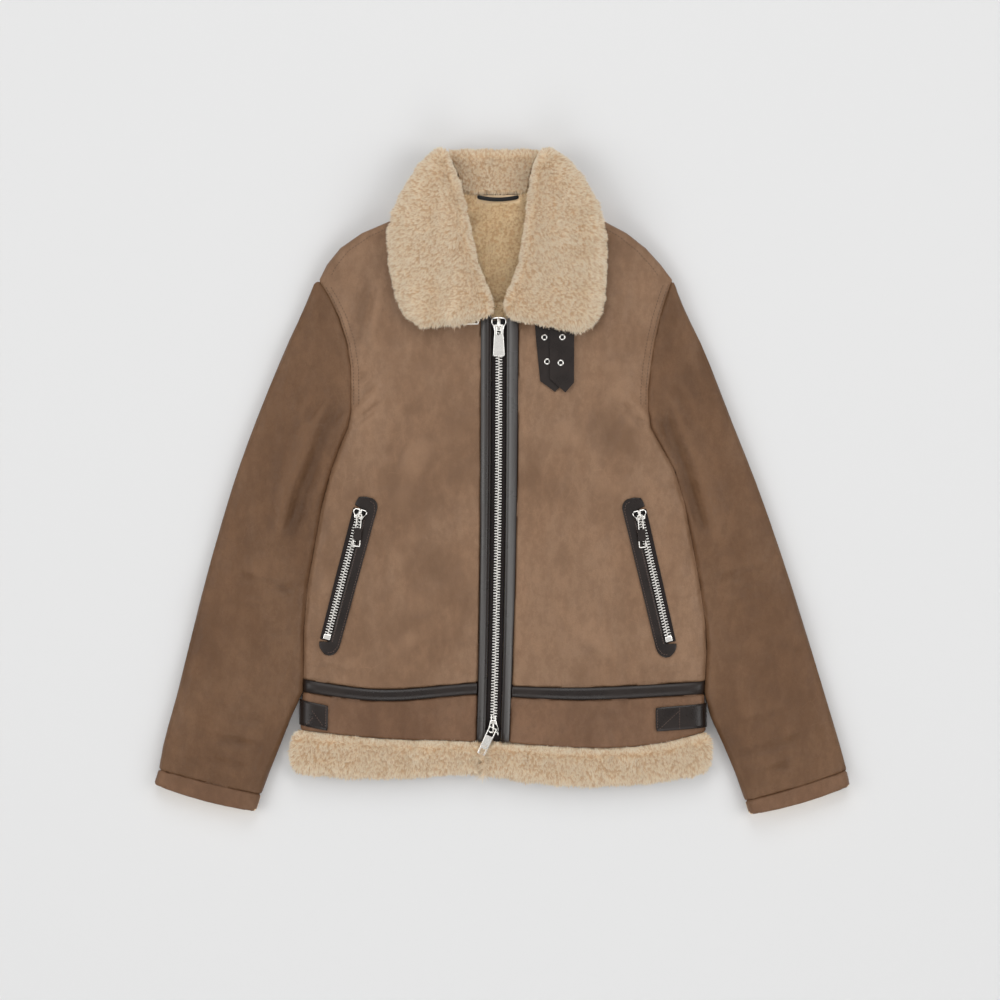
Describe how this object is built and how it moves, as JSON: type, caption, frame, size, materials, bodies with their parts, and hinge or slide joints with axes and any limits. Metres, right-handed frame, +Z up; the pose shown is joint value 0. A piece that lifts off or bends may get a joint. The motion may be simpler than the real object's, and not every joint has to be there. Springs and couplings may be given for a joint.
{
  "type": "shearling coat",
  "caption": "Zipped leather coat with a fleece inside, turned-down fur collar, fur hem and slanted zip pockets, laid flat on its back.",
  "frame": {"origin": "on the surface that the coat lies on, at the middle of its width and length", "axes": "+X to the wearer's left, +Y to the collar, +Z up from the surface"},
  "size_m": [0.8715, 0.8305, 0.0683],
  "materials": {
    "leather": "waxed",
    "sleeve_leather": "waxed",
    "band_leather": "waxed",
    "dark_leather": "satin",
    "trim_leather": "satin",
    "fur": "short pile fleece",
    "tape": "woven",
    "zip_metal": "polished"
  },
  "bodies": {
    "root": {"back_panel": "leather", "front_right_panel": "leather", "front_left_panel": "leather", "waist_trim_right": "trim_leather", "waist_trim_left": "trim_leather", "waist_trim_back": "trim_leather", "waistband_right": "band_leather", "waistband_left": "band_leather", "waistband_back": "band_leather", "hem_fur_right": "fur", "hem_fur_left": "fur", "hem_fur_back": "fur", "sleeve_right_upper": "sleeve_leather", "sleeve_right_under": "sleeve_leather", "sleeve_left_upper": "sleeve_leather", "sleeve_left_under": "sleeve_leather", "cuff_right_upper": "band_leather", "cuff_right_under": "band_leather", "cuff_left_upper": "band_leather", "cuff_left_under": "band_leather", "collar_wing_right": "fur", "collar_wing_left": "fur", "collar_stand": "fur", "collar_fall": "fur", "hanger_loop": "dark_leather", "zip_facing_right": "dark_leather", "zip_facing_left": "dark_leather", "zip_tape_right": "tape", "zip_tape_left": "tape", "zip_chain": "zip_metal", "zip_slider_top": "zip_metal", "zip_slider_bottom": "zip_metal", "pocket_right_welt": "dark_leather", "pocket_right_tape": "tape", "pocket_right_chain": "zip_metal", "pocket_right_stop": "zip_metal", "pocket_right_slider": "zip_metal", "pocket_left_welt": "dark_leather", "pocket_left_tape": "tape", "pocket_left_chain": "zip_metal", "pocket_left_stop": "zip_metal", "pocket_left_slider": "zip_metal", "collar_strap_under": "dark_leather", "collar_strap_upper": "dark_leather", "strap_eyelet_1": "zip_metal", "strap_eyelet_2": "zip_metal", "strap_eyelet_3": "zip_metal", "strap_eyelet_4": "zip_metal", "collar_buckle": "zip_metal", "buckle_strap": "dark_leather", "side_tab_right": "dark_leather", "side_tab_left": "dark_leather"},
    "top_pull": {"zip_pull_top": "zip_metal"},
    "bottom_pull": {"zip_pull_bottom": "zip_metal"},
    "right_pocket_pull": {"pocket_right_pull": "dark_leather"},
    "left_pocket_pull": {"pocket_left_pull": "dark_leather"}
  },
  "joints": [
    {"name": "top_pull_hinge", "type": "hinge", "parent": "root", "child": "top_pull", "pos_m": [-0.0052, 0.1955, 0.0299], "axis": [-1, 0, 0], "range_deg": [0, 100]},
    {"name": "bottom_pull_hinge", "type": "hinge", "parent": "root", "child": "bottom_pull", "pos_m": [-0.0122, -0.307, 0.0309], "axis": [-0.9063, 0.4226, 0], "range_deg": [0, 140]},
    {"name": "right_pocket_pull_hinge", "type": "hinge", "parent": "root", "child": "right_pocket_pull", "pos_m": [-0.17892, -0.04036, 0.0362], "axis": [-0.9664, 0.2571, 0], "range_deg": [0, 160]},
    {"name": "left_pocket_pull_hinge", "type": "hinge", "parent": "root", "child": "left_pocket_pull", "pos_m": [0.17074, -0.04178, 0.0362], "axis": [-0.9736, -0.2284, 0], "range_deg": [0, 160]}
  ]
}
